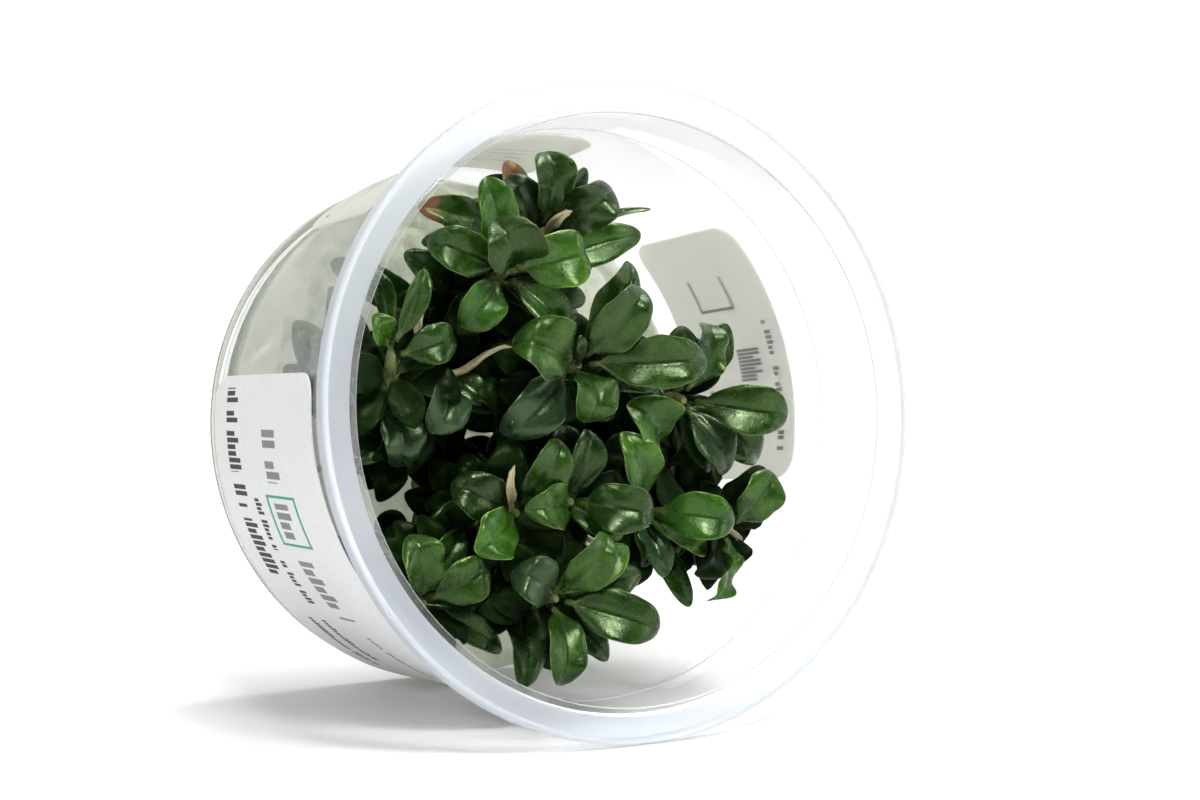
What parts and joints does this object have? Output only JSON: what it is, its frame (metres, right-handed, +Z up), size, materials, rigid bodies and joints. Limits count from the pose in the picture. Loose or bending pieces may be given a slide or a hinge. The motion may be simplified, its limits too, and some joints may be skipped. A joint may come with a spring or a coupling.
{
  "type": "bucephalandra in a culture cup",
  "caption": "Clump of dark green bucephalandra grown on jelly in an open clear plastic tissue culture cup that lies on its side.",
  "frame": {"origin": "middle of the footprint box, on the floor that the cup lies on", "axes": "+Z up; -Y the way the cup's mouth faces, tipped a little up; +X to the right as seen from in front of the mouth"},
  "size_m": [0.1006, 0.078, 0.0997],
  "materials": {
    "cup_plastic": "clear to milky polypropylene, smooth, with a frosted flange",
    "jelly": "translucent watery jelly, pale green-cream, glossy and cracked",
    "sticker_paper": "white sticker paper, satin",
    "leaf": "glossy dark green leaf, finely speckled",
    "stem": "olive to brown fleshy stem, satin"
  },
  "bodies": {
    "root": {"cup": "cup_plastic", "gel": "jelly", "leaf_bottom_hanging": "leaf", "leaf_bottom_left": "leaf", "leaf_bottom_right": "leaf", "leaf_bottom_up": "leaf", "leaf_core_bright": "leaf", "leaf_core_cupped": "leaf", "leaf_corner_right": "leaf", "leaf_corner_upright": "leaf", "leaf_far_bright": "leaf", "leaf_far_twisted": "leaf", "leaf_heart_bright": "leaf", "leaf_heart_round": "leaf", "leaf_heart_up": "leaf", "leaf_inner_broad": "leaf", "leaf_left_blue": "leaf", "leaf_left_bright": "leaf", "leaf_left_broad": "leaf", "leaf_left_point": "leaf", "leaf_low_broad": "leaf", "leaf_low_left": "leaf", "leaf_low_right": "leaf", "leaf_middle_back": "leaf", "leaf_middle_blue": "leaf", "leaf_middle_left": "leaf", "leaf_middle_right": "leaf", "leaf_middle_silver": "leaf", "leaf_middle_up": "leaf", "leaf_right_grey": "leaf", "leaf_right_long": "leaf", "leaf_right_tan": "leaf", "leaf_right_up": "leaf", "leaf_top_far": "leaf", "leaf_top_left": "leaf", "leaf_top_right": "leaf", "leaf_top_round": "leaf", "leaf_top_tall": "leaf", "leaf_upper_curled": "leaf", "leaf_upper_down": "leaf", "leaf_upper_left": "leaf", "leaf_upper_low": "leaf", "leaf_upper_point": "leaf", "leaf_upper_right": "leaf", "shoot_bottom": "stem", "shoot_core": "stem", "shoot_far_right": "stem", "shoot_heart": "stem", "shoot_inner": "stem", "shoot_left": "stem", "shoot_low": "stem", "shoot_low_left": "stem", "shoot_low_right": "stem", "shoot_middle": "stem", "shoot_right": "stem", "shoot_top": "stem", "shoot_upper": "stem", "sticker_back": "sticker_paper", "sticker_front": "sticker_paper", "sticker_top": "sticker_paper"}
  },
  "joints": []
}
